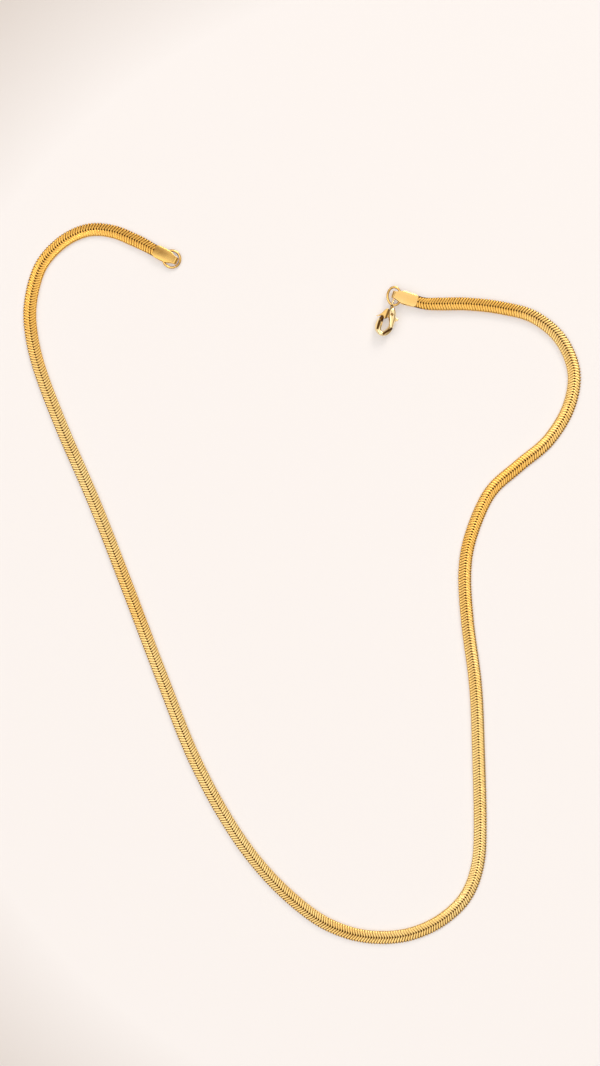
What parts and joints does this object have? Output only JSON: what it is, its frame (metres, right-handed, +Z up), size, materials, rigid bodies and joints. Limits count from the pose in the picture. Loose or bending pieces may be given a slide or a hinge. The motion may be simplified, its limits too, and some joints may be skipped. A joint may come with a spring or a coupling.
{
  "type": "herringbone neck chain",
  "caption": "Flat woven herringbone neck chain with folded end caps, a round catch ring and a lobster clasp, laid open.",
  "frame": {"origin": "middle of the base of the whole necklace as it lies open on a table", "axes": "+Z up from the table, +Y towards the two loose ends, +X towards the end with the clasp"},
  "size_m": [0.1348, 0.1744, 0.0024],
  "materials": {
    "woven_gold": "polished",
    "polished_gold": "polished",
    "clasp_gold": "polished"
  },
  "bodies": {
    "necklace": {"herringbone_band": "woven_gold", "catch_end_cap": "polished_gold", "catch_ring": "polished_gold", "clasp_end_cap": "polished_gold", "jump_ring": "polished_gold", "clasp_body": "clasp_gold", "clasp_rivet": "clasp_gold"},
    "trigger": {"clasp_trigger": "clasp_gold"}
  },
  "joints": [
    {"name": "trigger_swing", "type": "hinge", "parent": "necklace", "child": "trigger", "pos_m": [0.02164, 0.06474, 0.0012], "axis": [0, 0, -1], "range_deg": [0, 20], "stiffness_Nm_per_rad": 0.001}
  ]
}
